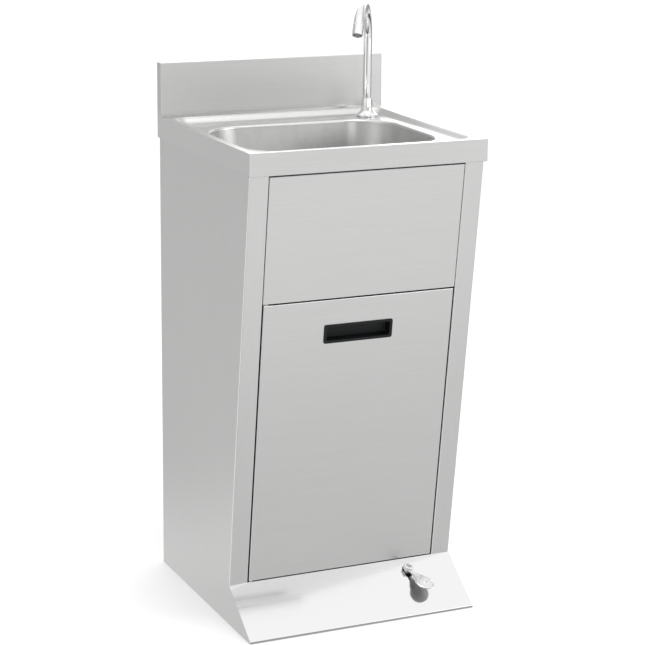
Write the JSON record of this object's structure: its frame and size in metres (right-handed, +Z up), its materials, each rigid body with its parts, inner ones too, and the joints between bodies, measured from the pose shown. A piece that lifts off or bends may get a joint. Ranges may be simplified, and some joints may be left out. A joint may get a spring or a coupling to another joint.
{
  "type": "portable handwash sink",
  "caption": "Free-standing stainless handwash sink on a closed cabinet: foot pump, swan-neck spout, pressed basin, splashback, hinged door, clean and waste water cans inside.",
  "frame": {"origin": "on the floor under the middle of the worktop", "axes": "+X to the user's right, +Y to the splashback, +Z up; the user stands on the -Y side"},
  "size_m": [0.45, 0.45, 1.088],
  "materials": {
    "satin_steel": "fine satin grain, light grey",
    "basin_steel": "pressed satin steel",
    "bright_steel": "bright polished sheet",
    "inner_steel": "plain mill-finish sheet",
    "chrome": "bright chrome plate",
    "cast_steel": "polished casting",
    "machined_steel": "turned steel",
    "zinc_fasteners": "bright zinc plate",
    "spring_steel": "drawn spring wire",
    "brass": "plain machined brass",
    "black_plastic": "fine moulded texture",
    "bush_plastic": "natural nylon",
    "white_plastic": "moulded white",
    "pump_plastic": "moulded dark grey",
    "rubber": "black rubber",
    "waste_hose": "grey corrugated hose",
    "water_hose": "clear vinyl hose",
    "clean_can": "natural blow-moulded can",
    "waste_can": "grey blow-moulded can",
    "clean_cap": "blue moulded cap",
    "waste_cap": "black moulded cap"
  },
  "bodies": {
    "cabinet": {"worktop": "satin_steel", "left_side_panel": "satin_steel", "right_side_panel": "satin_steel", "upper_front_panel": "satin_steel", "basin": "basin_steel", "toe_plate": "bright_steel", "back_panel": "inner_steel", "base_plate": "inner_steel", "cross_rail": "inner_steel", "pump_bracket": "inner_steel", "pump_straps": "inner_steel", "spout_base": "chrome", "spout_collar": "chrome", "waste_flange": "chrome", "pedal_pivot_pin": "machined_steel", "door_pivot_pins": "machined_steel", "catch_screws": "zinc_fasteners", "worktop_screws": "zinc_fasteners", "back_panel_screws": "zinc_fasteners", "waste_screw": "zinc_fasteners", "hose_clips": "zinc_fasteners", "pump_screws": "zinc_fasteners", "spout_washer": "zinc_fasteners", "pedal_spring": "spring_steel", "spout_nut": "brass", "magnet_catch": "black_plastic", "hose_saddles": "black_plastic", "waste_body": "white_plastic", "dip_tube": "white_plastic", "pump_barrel": "pump_plastic", "pump_head": "pump_plastic", "waste_gasket": "rubber", "base_seal": "rubber", "spout_seal": "rubber", "waste_hose": "waste_hose", "suction_hose": "water_hose", "pressure_hose": "water_hose", "clean_can": "clean_can", "waste_can": "waste_can"},
    "door": {"door_skin": "satin_steel", "door_liner": "inner_steel", "door_handle": "black_plastic", "door_bushes": "bush_plastic", "catch_striker": "machined_steel"},
    "pedal": {"pedal_stem": "machined_steel", "pedal_lever": "cast_steel", "pedal_screw": "zinc_fasteners", "rod_pin": "machined_steel"},
    "pump_rod": {"pump_piston": "white_plastic", "piston_seal": "rubber"},
    "spout": {"spout": "chrome"},
    "outlet": {"outlet_sleeve": "chrome", "aerator": "black_plastic"},
    "waste_cap": {"waste_can_cap": "waste_cap"},
    "clean_cap": {"clean_can_cap": "clean_cap"}
  },
  "joints": [
    {"name": "door_hinge", "type": "hinge", "parent": "cabinet", "child": "door", "pos_m": [-0.1785, -0.11804, 0.07561], "axis": [0, 0.1227, -0.9924], "range_deg": [0, 100]},
    {"name": "pedal_press", "type": "hinge", "parent": "cabinet", "child": "pedal", "pos_m": [0.12268, -0.14084, 0.04533], "axis": [0.9511, 0.309, 0], "range_deg": [0, 16], "stiffness_Nm_per_rad": 1.5, "springref_deg": -5.73, "deforming": ["pedal_spring"]},
    {"name": "pump_stroke", "type": "slide", "parent": "cabinet", "child": "pump_rod", "axis": [-0.309, 0.9511, 0], "range_m": [0, 0.006]},
    {"name": "spout_swivel", "type": "hinge", "parent": "cabinet", "child": "spout", "pos_m": [0.17, 0.153, 0.9], "axis": [0, 0, 1], "continuous": true},
    {"name": "outlet_unscrew", "type": "hinge", "parent": "spout", "child": "outlet", "pos_m": [0.09933, 0.04623, 1.04914], "axis": [-0.3086, -0.4663, -0.829], "continuous": true},
    {"name": "waste_cap_turn", "type": "hinge", "parent": "cabinet", "child": "waste_cap", "pos_m": [-0.11, 0.009, 0.31], "axis": [0, 0, 1], "continuous": true},
    {"name": "clean_cap_turn", "type": "hinge", "parent": "cabinet", "child": "clean_cap", "pos_m": [0.11, 0.009, 0.31], "axis": [0, 0, 1], "continuous": true}
  ],
  "couplings": [
    {"joint": "pump_stroke", "follows": "pedal_press", "m_per_rad": 0.020327}
  ]
}
